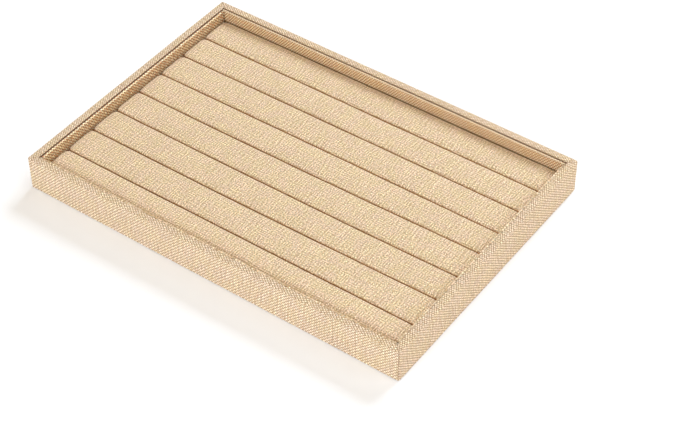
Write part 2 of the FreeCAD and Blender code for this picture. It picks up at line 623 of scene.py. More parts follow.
class Finishes:
    """All the materials of the tray: one per slot, and the linens of the cover and linings."""

    def __init__(self) -> None:
        """Makes each material once."""
        self.by_slot = {Slot.LINEN: ROLL_LINEN.material("roll_linen")}
        self.by_slot |= {slot: grain.material(slot.value) for slot, grain in GRAINS.items()}
        self.cover = COVER_LINEN.material("cover_linen")
        self.linings = {
            Side.REAR: LINING_LINEN.material("lining_linen"),
            Side.LEFT: ROUGH_LINING_LINEN.material("rough_lining_linen"),
        }

    def dress_node(self, node: str, slot: Slot) -> None:
        """Puts a slot's material on a node of the frame."""
        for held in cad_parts[node].material_slots:
            held.material = self.by_slot[slot]

    def fit(
        self,
        piece: bpy.types.Object,
        node: str,
        body: Body,
        slot: Slot = Slot.LINEN,
        material: bpy.types.Material | None = None,
    ) -> None:
        """Dresses a new piece, which rides on a body and stands for a node of the frame.

        Args:
            piece: The piece.
            node: The node that it replaces.
            body: The body that it moves with.
            slot: The slot that it takes its finish from.
            material: A material other than the slot's own.
        """
        piece.data.materials.clear()
        piece.data.materials.append(material or self.by_slot[slot])
        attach(piece, body.value)
        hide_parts(node)


@dataclass
class Patch:
    """Grid of points with its yarn map and shade, each of shape (rows, columns, ...)."""

    points: Array
    yarns: Array
    shade: Array


class Surface:
    """Collects patches into one mesh, welding the points that are given the same number."""

    def __init__(self, name: str) -> None:
        """Starts an empty surface.

        Args:
            name: Name of its object.
        """
        self.name = name
        self.points: list[Array] = []
        self.shades: list[Array] = []
        self.quads: list[Array] = []
        self.maps: list[Array] = []
        self.caps: list[Array] = []
        self.cap_maps: list[Array] = []

    def add_points(self, points: Array, shade: Array | float = 0.0) -> Array:
        """Adds points of shape (rows, columns, 3).

        Args:
            points: The points.
            shade: Their shade, of a shape that broadcasts to (rows, columns).

        Returns:
            Their numbers, of shape (rows, columns).
        """
        start = sum(len(part) for part in self.points)
        self.points.append(points.reshape(-1, 3))
        self.shades.append(np.broadcast_to(shade, points.shape[:2]).ravel())
        return start + np.arange(points.shape[0] * points.shape[1]).reshape(points.shape[:2])

    def add_quads(self, numbers: Array, yarns: Array) -> None:
        """Adds the faces between neighbours of a grid.

        Args:
            numbers: Point numbers of shape (rows, columns).
            yarns: The yarn map at these points.
        """

        def corners(grid: Array) -> Array:
            """Four corners of each cell, in order round it."""
            cells = [grid[:-1, :-1], grid[:-1, 1:], grid[1:, 1:], grid[1:, :-1]]
            return np.stack(cells, axis=2)

        self.quads.append(corners(numbers).reshape(-1, 4))
        self.maps.append(corners(yarns).reshape(-1, 4, 2))

    def add_cap(self, numbers: Array, yarns: Array) -> None:
        """Adds one flat face over a closed row of point numbers."""
        self.caps.append(numbers)
        self.cap_maps.append(yarns)

    def build(self) -> bpy.types.Object:
        """Makes the mesh and its object.

        Returns:
            The object, shaded smooth, at the origin.
        """
        points = np.concatenate(self.points)
        faces = np.concatenate(self.quads).tolist() + [cap.tolist() for cap in self.caps]
        mesh = bpy.data.meshes.new(self.name)
        mesh.from_pydata(points.tolist(), [], faces)
        yarns = np.concatenate([np.concatenate(self.maps).reshape(-1, 2), *self.cap_maps])
        layer = mesh.uv_layers.new(name=YARN_MAP)
        layer.uv.foreach_set("vector", yarns.astype(np.float32).ravel())
        shade = mesh.attributes.new(SHADE, "FLOAT", "POINT")
        shade.data.foreach_set("value", np.concatenate(self.shades).astype(np.float32))
        mesh.polygons.foreach_set("use_smooth", np.full(len(faces), True))
        mesh.update()
        made = bpy.data.objects.new(self.name, mesh)
        bpy.context.scene.collection.objects.link(made)
        return made


def arc(centre: Pair, radius: float, start: float, end: float, count: int) -> Array:
    """Points on an arc, from one angle to another in degrees, as rows of (x, y)."""
    angle = np.radians(np.linspace(start, end, count))
    return np.array(centre) + radius * np.stack([np.cos(angle), np.sin(angle)], axis=1)


def lengths(points: Array) -> Array:
    """Distance along a chain of points, from its first point."""
    steps = np.linalg.norm(np.diff(points, axis=0), axis=1)
    return np.concatenate([[0.0], np.cumsum(steps)])


def waves(place: Array, seed: int, longest: float, count: int = 6, fade: float = 0.7) -> Array:
    """Smooth seeded waviness: a sum of sines whose lengths and heights go down from the first.

    Args:
        place: Where it is wanted, along a line.
        seed: Seed of the sines' starts.
        longest: Length of the first sine.
        count: How many there are.
        fade: Power of its number by which a sine is lower.

    Returns:
        The waviness, from about -1 to 1.
    """
    random = np.random.default_rng(seed)
    total = np.zeros_like(place)
    for number in range(1, count + 1):
        start = random.uniform(0, 2 * math.pi)
        total += np.sin(place * 2 * math.pi * number / longest + start) / number**fade
    return total / count**0.5


def crowded(half: float, near: float, step: float, count: int) -> Array:
    """Places from -half to half that crowd together towards both ends.

    Args:
        half: Half of the span.
        near: Distance of the first place from an end, from which the distances grow evenly.
        step: Distance between the places in the middle.
        count: How many places crowd at each end.

    Returns:
        The places in order.
    """
    ends = half - np.geomspace(near, step * count / 2, count)
    middle = np.linspace(-ends[-1], ends[-1], max(3, int(2 * ends[-1] / step)))
    return np.concatenate([[-half], -ends, middle[1:-1], ends[::-1], [half]])


@dataclass
class Sizes:
    """Sizes that the pieces share, in metres. Insets go in from the tray's outside."""

    half_length: float
    half_width: float
    top: float
    linen: float
    felt: float
    rim_inside: float
    rim_turn_in: float = 14.0 * MM
    turn_under: float = 12.0 * MM
    yarn: float = 1.43 * MM

    @classmethod
    def from_frame(cls) -> "Sizes":
        """Reads the sizes from the boxes of the nodes.

        Returns:
            The sizes.
        """
        low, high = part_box("outer_linen")
        wall_low, wall_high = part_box("front_wall")
        felt_low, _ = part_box("underside_felt")
        return cls(
            half_length=high.x,
            half_width=high.y,
            top=high.z,
            linen=wall_low.y - low.y,
            felt=low.z - felt_low.z,
            rim_inside=wall_high.y - low.y,
        )

    def reach(self, side: Side) -> Pair:
        """Half of a side's length, and its outside's distance from the middle."""
        pair = (self.half_length, self.half_width)
        return pair if side.is_long else pair[::-1]


@dataclass
class OuterCover:
    """Linen band round the tray: up the outside, over the rim, down inside and under the base."""

    sizes: Sizes
    edge_radius: float = 0.6 * MM
    corner_radius: float = 1.0 * MM
    least_radius: float = 0.15 * MM
    seam_depth: float = 0.35 * MM
    seam_width: float = 0.65 * MM
    seam_calm: float = 3.0 * MM
    # Painted shade in the corner seams' creases and inside the rim's gap.
    seam_shade: float = 0.55
    seam_shade_width: float = 0.52 * MM
    gap_shade: float = 0.85
    unevenness: float = 0.07 * MM
    wave_length: float = 90.0 * MM
    short_side_yarns: Pair = (1.54 * MM, 1.27 * MM)
    rim_crowding: float = 1.35
    yarn_offset: Pair = (1013.0, 57.0)
    near_step: float = 0.3 * MM
    step: float = 5.0 * MM
    near_places: int = 9
    half_corner: float = 45.0
    corner_places: int = 6
    edge_points: int = 6
    flat_points: int = 5
    wall_points: int = 12

    def profile(self) -> tuple[Array, Array, int]:
        """Section of the band as rows of (inset, height).

        Returns:
            The section's points, its outward directions, and how many points lie on the outer
            face of the cloth.
        """
        size = self.sizes
        radius = self.edge_radius
        clear = 2 * radius
        bottom = size.felt
        inner = size.rim_inside + size.linen
        fold = size.linen + size.turn_under
        end = size.top - size.rim_turn_in
        flat, edge = self.flat_points, self.edge_points
        outer = [
            np.linspace((fold, bottom), (clear, bottom), flat),
            arc((radius, bottom + radius), radius, 270, 180, edge),
            np.linspace((0, bottom + clear), (0, size.top - clear), self.wall_points),
            arc((radius, size.top - radius), radius, 180, 90, edge),
            np.linspace((clear, size.top), (inner - clear, size.top), flat),
            arc((inner - radius, size.top - radius), radius, 90, 0, edge),
            np.linspace((inner, size.top - clear), (inner, end), flat),
        ]
        face = np.concatenate(outer)
        back = np.array(
            [
                (size.rim_inside, end),
                (size.rim_inside, size.top - size.linen),
                (size.linen, size.top - size.linen),
                (size.linen, bottom + size.linen),
                (fold, bottom + size.linen),
            ]
        )
        steps = np.gradient(face, axis=0)
        outward = np.stack([-steps[:, 1], steps[:, 0]], axis=1)
        outward /= np.linalg.norm(outward, axis=1)[:, None]
        points = np.concatenate([face, back, face[:1]])
        directions = np.concatenate([outward, np.zeros((len(back), 2)), outward[:1]])
        return points, directions, len(face)

    def panel(self, side: Side, seed: int) -> Patch:
        """One side of the band, between the middles of two corners.

        The section is carried along the wall and half way round each corner. It is pressed in
        along the seam at the corner by a bell curve, and is a little uneven elsewhere.

        Args:
            side: The side.
            seed: Seed of its unevenness.

        Returns:
            The panel's grid.
        """
        half, out = self.sizes.reach(side)
        section, outward, _ = self.profile()
        straight_half = half - self.corner_radius
        straight = crowded(straight_half, self.near_step, self.step, self.near_places)
        bend = np.radians(np.linspace(0, self.half_corner, self.corner_places + 1)[1:])
        turn = np.concatenate([-bend[::-1], np.zeros(len(straight)), bend])
        ends = np.ones(self.corner_places)
        share = np.concatenate([-ends, straight / straight[-1], ends])
        seam_gap = (np.radians(self.half_corner) - np.abs(turn)) * self.corner_radius
        seam_gap = seam_gap + (1 - np.abs(share)) * half
        seam = -self.seam_depth * np.exp(-((seam_gap / self.seam_width) ** 2))
        uneven = self.unevenness * waves(share * half, seed, self.wave_length)
        shift = seam + uneven * (1 - np.exp(-seam_gap / self.seam_calm))
        at = section[:, None, :] + shift[None, :, None] * outward[:, None, :]
        inset, height = at[..., 0], at[..., 1]
        radius = np.maximum(self.corner_radius - inset, self.least_radius)
        run_half = half - inset - radius
        along = share * run_half + radius * np.sin(turn)
        across = out - inset - radius * (1 - np.cos(turn))
        yarns = self.yarns(side, section, share * run_half + radius * turn)
        return Patch(
            side.place(along, across, height),
            yarns + seed * np.array(self.yarn_offset),
            self.shade(section, seam_gap),
        )

    def yarns(self, side: Side, section: Array, along: Array) -> Array:
        """Yarn map of a side, whose yarns crowd together over the rim.

        Args:
            side: The side.
            section: The band's section.
            along: Distance along the wall and round its corners, for each point.

        Returns:
            The map, of shape (rows, columns, 2).
        """
        over_rim = section[1:, 1] > self.sizes.top - 2 * self.edge_radius
        steps = np.diff(lengths(section)) * np.where(over_rim, self.rim_crowding, 1.0)
        up = np.broadcast_to(np.append(0.0, np.cumsum(steps))[:, None], along.shape)
        yarn = self.sizes.yarn if side.is_long else np.array(self.short_side_yarns)
        return np.stack([along, up], axis=-1) / yarn

    def shade(self, section: Array, seam_gap: Array) -> Array:
        """Painted shade in the rim's gap, by a straight rise, and in the creases of the seams, by
        a bell curve.

        Args:
            section: The band's section.
            seam_gap: Distance from the nearer seam.

        Returns:
            The shades, of shape (rows, columns).
        """
        size = self.sizes
        in_gap = self.gap_shade * np.clip((section[:, 0] - size.rim_inside) / size.linen, 0, 1)
        below = size.top - self.edge_radius - section[:, 1]
        in_gap *= np.clip(below / self.edge_radius, 0, 1)
        in_seam = self.seam_shade * np.exp(-((seam_gap / self.seam_shade_width) ** 2))
        return np.maximum(in_gap[:, None], in_seam[None, :])

    def build(self, finishes: Finishes) -> bpy.types.Object:
        """Makes the band, with its four sides welded at the corners.

        Args:
            finishes: The materials.

        Returns:
            The band.
        """
        surface = Surface("outer_linen_band")
        patches = [self.panel(side, number) for number, side in enumerate(Side, start=1)]
        numbers = [
            surface.add_points(patch.points[:-1, :-1], patch.shade[:-1, :-1]) for patch in patches
        ]
        for place, patch in enumerate(patches):
            following = numbers[(place + 1) % len(numbers)][:, :1]
            grid = np.concatenate([numbers[place], following], axis=1)
            surface.add_quads(np.concatenate([grid, grid[:1]]), patch.yarns)
        band = surface.build()
        finishes.fit(band, "outer_linen", Body.TRAY, material=finishes.cover)
        section, _, faced = self.profile()
        return band


@dataclass(frozen=True)
class LiningStyle:
    """What sets one lining strip apart.

    It leans to its wall, and has yarns of a size along the wall and up it. Its painted shade is
    plain, goes to the painted foot shade between the second and third of four heights, a dark
    line in the crevice where the pad meets it, and to a painted highlight, pale, over its top
    edge.
    """

    lean: float = 0.25 * MM
    yarns: Pair = (1.5 * MM, 1.5 * MM)
    plain: float = 0.0
    rubbed: float = 0.0
    pale: float = 0.0
    rubs: tuple[float, ...] = (13.5 * MM, 15.0 * MM, 17.9 * MM, 19.4 * MM)
    pale_reach: Pair = (1.3 * MM, 0.5 * MM)

    def shade(self, height: Array, top: float) -> Array:
        """Painted shade of the cloth by straight runs between these heights.

        Args:
            height: Heights of the points.
            top: Height of the strip's top edge.

        Returns:
            The shades, below zero where a highlight is painted.
        """
        places = (*self.rubs, *(top - reach for reach in self.pale_reach))
        shades = (self.plain, self.rubbed, self.rubbed, self.plain, self.plain, self.pale)
        return np.interp(height, places, shades)


# The rear strip has a painted shade line at its foot and a painted highlight on its top edge; the
# left strip has painted shade all over, deeper at the pad's ends, and a fainter painted highlight.
LINING_STYLES = {
    Side.FRONT: LiningStyle(),
    Side.RIGHT: LiningStyle(),
    Side.REAR: LiningStyle(lean=0.4 * MM, yarns=(1.25 * MM, 1.5 * MM), rubbed=0.95, pale=-0.25),
    Side.LEFT: LiningStyle(
        lean=0.0,
        plain=0.30,
        rubbed=0.56,
        pale=-0.12,
        rubs=(15.8 * MM, 18.6 * MM, 20.4 * MM, 22.4 * MM),
    ),
}


@dataclass
class Lining:
    """Linen over one lining strip: up its face, over its top edge and a way down its back."""

    side: Side
    sizes: Sizes
    edge_radius: float = 0.62 * MM
    turn_over: float = 10.0 * MM
    unevenness: float = 0.10 * MM
    wave_length: float = 120.0 * MM
    step: float = 4.0 * MM
    face_points: int = 64
    edge_points: int = 6
    back_points: int = 4
    first_seed: int = 20
    yarn_start: Pair = (3001.0, 411.0)
    yarn_spread: float = 370.0

    def face(self, near: float, far: float, foot: float, top: float) -> Array:
        """Outer face of the cloth's section.

        Args:
            near: Distance of the strip's face from the tray's middle.
            far: Distance of its back.
            foot: Height of its foot.
            top: Height of its top edge.

        Returns:
            Rows of (distance from the middle, height), up the face and down the back.
        """
        radius = self.edge_radius
        bend = top - radius
        start = bend - radius
        return np.concatenate(
            [
                np.linspace((near, foot), (near, start), self.face_points),
                arc((near + radius, bend), radius, 180, 90, self.edge_points),
                arc((far - radius, bend), radius, 90, 0, self.edge_points),
                np.linspace((far, start), (far, top - self.turn_over), self.back_points),
            ]
        )

    def build(self, finishes: Finishes) -> bpy.types.Object:
        """Makes the strip's linen: a closed section carried along the wall, flat at both ends.

        Its face bows inwards by a seeded waviness, more towards the top.

        Args:
            finishes: The materials.

        Returns:
            The piece.
        """
        word, linen, style = self.side.word, self.sizes.linen, LINING_STYLES[self.side]
        low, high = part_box(f"{word}_liner_linen")
        _, card_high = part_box(f"{word}_liner_card")
        half = high.x if self.side.is_long else high.y
        span = (low.y, high.y) if self.side.is_long else (low.x, high.x)
        near, far = (style.lean + place for place in sorted(abs(end) for end in span))
        foot, top = low.z, high.z
        face = self.face(near, far, foot, top)
        back = np.array(
            [
                (far - linen, top - self.turn_over),
                (far - linen, card_high.z),
                (near + linen, card_high.z),
                (near + linen, foot),
            ]
        )
        section = np.concatenate([face, back, face[:1]])
        along = np.linspace(-half, half, int(2 * half / self.step))
        lift = np.clip((section[:, 1] - foot) / (top - foot), 0, 1) ** 2
        sway = self.unevenness * waves(along, self.first_seed + len(word), self.wave_length)
        across = section[:, 0][:, None] - lift[:, None] * np.abs(sway)[None, :]
        points = self.side.place(along[None, :], across, section[:, 1][:, None])
        up = np.broadcast_to(lengths(section)[:, None], across.shape)
        yarns = np.stack([np.broadcast_to(along, up.shape), up], axis=-1) / np.array(style.yarns)
        yarns = yarns + np.array(self.yarn_start) + np.array([self.yarn_spread * len(word), 0.0])
        # Painted shade on the back of the cloth, inside the rim's gap.
        in_gap = np.clip((section[:, 0] - far + 0.5 * linen) / (0.5 * linen), 0, 1)
        in_gap *= np.clip((top - self.edge_radius - section[:, 1]) / self.edge_radius, 0, 1)
        shade = np.where(in_gap > 0, in_gap, style.shade(section[:, 1], top))
        surface = Surface(f"{word}_lining_linen")
        numbers = surface.add_points(points[:-1], shade[:-1, None])
        surface.add_quads(np.concatenate([numbers, numbers[:1]])[::-1], yarns[::-1])
        surface.add_cap(numbers[:, 0], yarns[:-1, 0])
        surface.add_cap(numbers[::-1, -1], yarns[-2::-1, -1])
        piece = surface.build()
        material = finishes.linings.get(self.side)
        finishes.fit(piece, f"{word}_liner_linen", Body.TRAY, material=material)
        return piece


@dataclass
class FlatSheet:
    """Sheet glued flat to the base: the linen on the inside floor, or the felt under it."""

    node: str
    slot: Slot
    sizes: Sizes
    pressed: float = 0.0
    border: float = 0.0
    rise: float = 0.8 * MM
    rise_places: int = 5
    near_step: float = 0.2 * MM
    step: float = 8.0 * MM
    near_places: int = 7
    unevenness: float = 0.04 * MM
    wave_seeds: tuple[int, int] = (51, 52)
    wave_lengths: Pair = (70.0 * MM, 90.0 * MM)

    def places(self, half: float) -> Array:
        """Places of the grid's lines, closer at the edges and where the sheet is pressed up.

        Args:
            half: Half of the sheet's length or width.

        Returns:
            The places in order.
        """
        places = crowded(half, self.near_step, self.step, self.near_places)
        if not self.pressed:
            return places
        rise = self.border + np.linspace(0, self.rise, self.rise_places)
        return np.sort(np.concatenate([places, half - rise, rise - half]))

    def build(self, finishes: Finishes) -> bpy.types.Object:
        """Makes the sheet: two faces over a grid, closed along the edge.

        Inside its border the sheet is pressed up by a smooth step, and is a little uneven there.

        Args:
            finishes: The materials.

        Returns:
            The piece.
        """
        low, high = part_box(self.node)
        thickness = high.z - low.z - self.pressed
        x, y = np.meshgrid(self.places(high.x), self.places(high.y), indexing="ij")
        inside = np.minimum(high.x - np.abs(x), high.y - np.abs(y))
        share = np.clip((inside - self.border) / self.rise, 0, 1)
        under = low.z + self.pressed * share * share * (3 - 2 * share)
        across, along = (
            waves(place, seed, length)
            for place, seed, length in zip((x, y), self.wave_seeds, self.wave_lengths)
        )
        uneven = self.unevenness * across * along
        under = under + np.maximum(uneven, 0.0) * (inside > self.border)
        yarns = np.stack([x, y], axis=-1) / self.sizes.yarn
        surface = Surface(f"{self.node}_sheet")
        below = surface.add_points(np.stack([x, y, under], axis=-1))
        above = surface.add_points(np.stack([x, y, under + thickness], axis=-1))
        surface.add_quads(below[:, ::-1], yarns[:, ::-1])
        surface.add_quads(above, yarns)
        for edge in (np.s_[:, 0], np.s_[-1, :], np.s_[::-1, -1], np.s_[0, ::-1]):
            wall = np.stack([above[edge], below[edge]])
            surface.add_quads(wall, np.stack([yarns[edge], yarns[edge]]))
        piece = surface.build()
        finishes.fit(piece, self.node, Body.TRAY, self.slot)
        return piece


@dataclass
class RollForm:
    """Form of a roll: flat foot, upright sides, round shoulders, a crown and rounded ends.

    The crown falls away by the fourth power of the distance from its middle, to a slope of
    crown_tilt, where the shoulder's arc takes over. The ends are quarter ellipses, of a reach
    and a depth, in plan and at the top.
    """

    half_width: float
    half_length: float
    foot: float
    crown: float
    crown_tilt: float = math.radians(11.0)
    shoulder_radius: float = 2.0 * MM
    foot_radius: float = 0.8 * MM
    end_reach: float = 8.0 * MM
    end_drop: float = 2.1 * MM
    plan_reach: float = 3.6 * MM
    plan_inset: float = 2.2 * MM
    step: float = 3.0 * MM
    side_points: int = 4
    shoulder_points: int = 5
    crown_points: int = 8
    end_places: int = 11

    @classmethod
    def fitting(cls, node: str, inset: float) -> tuple["RollForm", float]:
        """Form that fits a node of the frame.

        Args:
            node: The node.
            inset: How far the form is drawn in from the node's sides, ends and top.

        Returns:
            The form, and the place of its middle across the tray.
        """
        low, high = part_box(node)
        half_width = (high.y - low.y) / 2 - inset
        return cls(half_width, high.x - inset, low.z, high.z - inset), (high.y + low.y) / 2

    def brink(self, half: Array | float) -> tuple[Array | float, Array | float]:
        """Place of the crown's brink across half a width, and its depth below the crown."""
        place = half - self.shoulder_radius * (1 - math.sin(self.crown_tilt))
        return place, place * math.tan(self.crown_tilt) / 4

    def half_section(self, inset: Array, drop: Array) -> Array:
        """Right half of the section, from the middle of the foot to the crown.

        The shoulder arc touches both the side and the crown, which gives its centre.

        Args:
            inset: How far the side of each section is drawn in, of shape (sections, 1).
            drop: How far its crown is lowered, of the same shape.

        Returns:
            Points (y, z) of shape (sections, points, 2).
        """
        half = self.half_width - inset
        crown = self.crown - drop
        shoulder, radius = self.shoulder_radius, self.foot_radius
        brink, sag = self.brink(half)
        shoulder_y = half - shoulder
        shoulder_z = crown - sag - shoulder * math.cos(self.crown_tilt)
        low = self.foot + radius
        share = np.linspace(0, 1, self.side_points + 1)[None, :-1]
        turn = (share - 1) * math.pi / 2
        foot = (half - radius) * share, self.foot + 0 * share * half
        corner = half - radius + radius * np.cos(turn), self.foot + radius * (1 + np.sin(turn))
        side = half + 0 * share, low + (shoulder_z - low) * share
        share = np.linspace(0, 1, self.shoulder_points + 1)[None, :-1]
        turn = share * (math.pi / 2 - self.crown_tilt)
        bend = shoulder_y + shoulder * np.cos(turn), shoulder_z + shoulder * np.sin(turn)
        share = np.linspace(1, 0, self.crown_points)[None, :]
        top = brink * share, crown - sag * share**4
        parts = (foot, corner, side, bend, top)
        parts = [np.stack(np.broadcast_arrays(*part), axis=-1) for part in parts]
        return np.concatenate(parts, axis=1)

    def grid(self) -> Array:
        """Whole roll about the middle of its foot, as closed sections along its length.

        Returns:
            Points of shape (sections, points, 3).
        """
        reach = max(self.end_reach, self.plan_reach)
        straight = self.half_length - reach
        middle = np.linspace(-straight, straight, int(2 * straight / self.step))
        turn = np.radians(np.linspace(0, 90, self.end_places + 1)[1:])
        end = straight + reach * np.sin(turn)
        x = np.concatenate([-end[::-1], middle, end])

        def rounding(reach: float, depth: float) -> Array:
            """Depth of a quarter ellipse at each section."""
            beyond = np.clip((np.abs(x) - self.half_length) / reach + 1, 0, 1)
            return depth * (1 - np.sqrt(1 - beyond**2))[:, None]

        inset = rounding(self.plan_reach, self.plan_inset)
        right = self.half_section(inset, rounding(self.end_reach, self.end_drop))
        left = right[:, -2:0:-1] * np.array([-1.0, 1.0])
        loop = np.concatenate([right, left], axis=1)
        places = np.broadcast_to(x[:, None, None], (*loop.shape[:2], 1))
        return np.concatenate([places, loop], axis=-1)


@dataclass
class Roll:
    """One padded roll of the ring pad: a linen sleeve over a foam strip."""

    number: int
    yarn: float = 0.98 * MM
    yarn_offset: Pair = (517.0, 143.0)
    slackness: float = 0.20 * MM
    narrowing: float = 0.06 * MM
    shortening: float = 0.18 * MM
    sway: float = 0.15 * MM
    sway_length: float = 260.0 * MM
    sway_seed: int = 70
    crown_wave: float = 0.12 * MM
    crown_wave_length: float = 150.0 * MM
    crown_seed: int = 90
    most_swell: float = 0.24 * MM
    side_swell: float = 0.25
    # Painted shade down the sides that face a slot.
    front_slot_start: float = 0.68 * MM
    rear_slot_start: float = 0.95 * MM
    slot_ramp: float = 0.45 * MM
    slot_side: float = 1.2 * MM
    slot_end: float = 0.4 * MM
    # Painted shade along the pad's edges, by the distance from them.
    soil_places: tuple[float, ...] = (1.5 * MM, 4.0 * MM, 7.0 * MM, 18.0 * MM)
    end_soil: tuple[float, ...] = (0.0, 0.08, 0.03, 0.0)
    side_soil: tuple[float, ...] = (0.0, 0.10, 0.10, 0.0)

    @property
    def outer_side(self) -> float:
        """Sign of the side that faces no other roll, or 0."""
        return {1: -1.0, ROLL_COUNT: 1.0}.get(self.number, 0.0)

    def slot_sway(self, slot: int, x: Array, half: float) -> Array:
        """Sideways sway of a slot: a parabola through its three bends, and a slight waviness.

        Args:
            slot: Number of the slot.
            x: Places along the roll.
            half: Half of the roll's length.

        Returns:
            The sway at these places.
        """
        left, middle, right = (MM * place for place in SLOT_BENDS[slot])
        share = x / half
        bend = middle + (right - left) / 2 * share + ((right + left) / 2 - middle) * share**2
        return bend + self.sway * waves(x, self.sway_seed + slot, self.sway_length)

    def follow_slots(self, grid: Array, form: RollForm, middle: float) -> Array:
        """Moves a straight roll to its place and lets each side follow its slot.

        The sway goes evenly from one side to the other and grows with the height, and the crown
        waves a little.

        Args:
            grid: Sections of the straight roll.
            form: Its form.
            middle: Its place across the tray.

        Returns:
            The moved sections.
        """
        x, y, z = (grid[..., axis] for axis in range(3))
        share = (y / form.half_width + 1) / 2
        near = self.slot_sway(self.number - 1, x, form.half_length)
        far = self.slot_sway(self.number, x, form.half_length)
        lift = np.clip((z - form.foot) / (form.crown - form.foot), 0, 1)
        y = y + middle + (near * (1 - share) + far * share) * lift
        wave = waves(x, self.crown_seed + self.number, self.crown_wave_length)
        z = z + self.crown_wave * lift**2 * wave
        return np.stack([x, y, z], axis=-1)

    def slot_shade(self, grid: Array, form: RollForm) -> Array:
        """Painted shade of the sides that face a slot, from just below their shoulders down.

        It starts lower on the rear side, and fades out by straight runs upwards, inwards and at
        the roll's ends.

        Args:
            grid: Sections of the straight roll.
            form: Its form.

        Returns:
            The shades.
        """
        x, y, z = (grid[..., axis] for axis in range(3))
        _, sag = form.brink(form.half_width)
        start = np.where(y > 0, self.rear_slot_start, self.front_slot_start)
        deep = np.clip((form.crown - sag - start - z) / self.slot_ramp, 0, 1)
        from_side = np.abs(y) - y.max(axis=1, keepdims=True)
        beside = np.clip(from_side / self.slot_side + 1, 0, 1)
        inside = np.clip((form.half_length - np.abs(x)) / self.slot_end, 0, 1)
        return deep * beside * inside * (np.sign(y) != self.outer_side)

    def soil_shade(self, grid: Array, form: RollForm) -> Array:
        """Faint painted shade along the edges of the whole pad, strongest a few millimetres in.

        Args:
            grid: Sections of the straight roll.
            form: Its form.

        Returns:
            The shades, by the distance to the roll's nearer end or to its outer side.
        """
        x, y = grid[..., 0], grid[..., 1]
        shade = np.interp(form.half_length - np.abs(x), self.soil_places, self.end_soil)
        if self.outer_side:
            from_side = form.half_width - self.outer_side * y
            shade = np.maximum(shade, np.interp(from_side, self.soil_places, self.side_soil))
        return shade

    def surface(self, name: str, grid: Array, shade: Array | float = 0.0) -> bpy.types.Object:
        """Closed mesh over the sections of a roll, with its yarn map along and round it.

        Args:
            name: Name of the object.
            grid: Sections of shape (sections, points, 3).
            shade: Shade of its points.

        Returns:
            The object.
        """
        section = grid[len(grid) // 2]
        round_it = lengths(np.concatenate([section, section[:1]]))
        along = lengths(grid[:, 0])
        yarns = np.stack(np.meshgrid(along, round_it, indexing="ij"), axis=-1) / self.yarn
        yarns = yarns + np.array(self.yarn_offset) * self.number
        made = Surface(name)
        numbers = made.add_points(grid, shade)
        made.add_quads(np.concatenate([numbers, numbers[:, :1]], axis=1), yarns)
        made.add_cap(numbers[0, ::-1], yarns[0, -2::-1])
        made.add_cap(numbers[-1], yarns[-1, :-1])
        return made.build()

    def sleeve(self) -> bpy.types.Object:
        """Linen sleeve before it is filled: a little slack, with each side following its slot.

        Returns:
            The sleeve.
        """
        form, middle = RollForm.fitting(f"roll_sleeve_{self.number}", 0.0)
        form.crown -= self.slackness
        form.half_width -= self.narrowing
        form.half_length -= self.shortening
        grid = form.grid()
        # Painted shade in the slots and along the pad's edges.
        shade = np.maximum(self.slot_shade(grid, form), self.soil_shade(grid, form))
        moved = self.follow_slots(grid, form, middle)
        return self.surface(f"roll_{self.number}_sleeve", moved, shade)

    def strip(self, finishes: Finishes) -> None:
        """Makes the foam strip inside the sleeve.

        Args:
            finishes: The materials.
        """
        node = f"roll_core_{self.number}"
        form, middle = RollForm.fitting(node, self.slackness)
        moved = self.follow_slots(form.grid(), form, middle)
        piece = self.surface(f"roll_{self.number}_foam", moved)
        finishes.fit(piece, node, Body.RING_PAD, Slot.FOAM)


def mesh_points(mesh: bpy.types.Mesh) -> Array:
    """Reads the points of a mesh.

    Args:
        mesh: The mesh.

    Returns:
        Rows of (x, y, z).
    """
    places = np.empty(len(mesh.vertices) * 3, np.float32)
    mesh.vertices.foreach_get("co", places)
    return places.reshape(-1, 3)


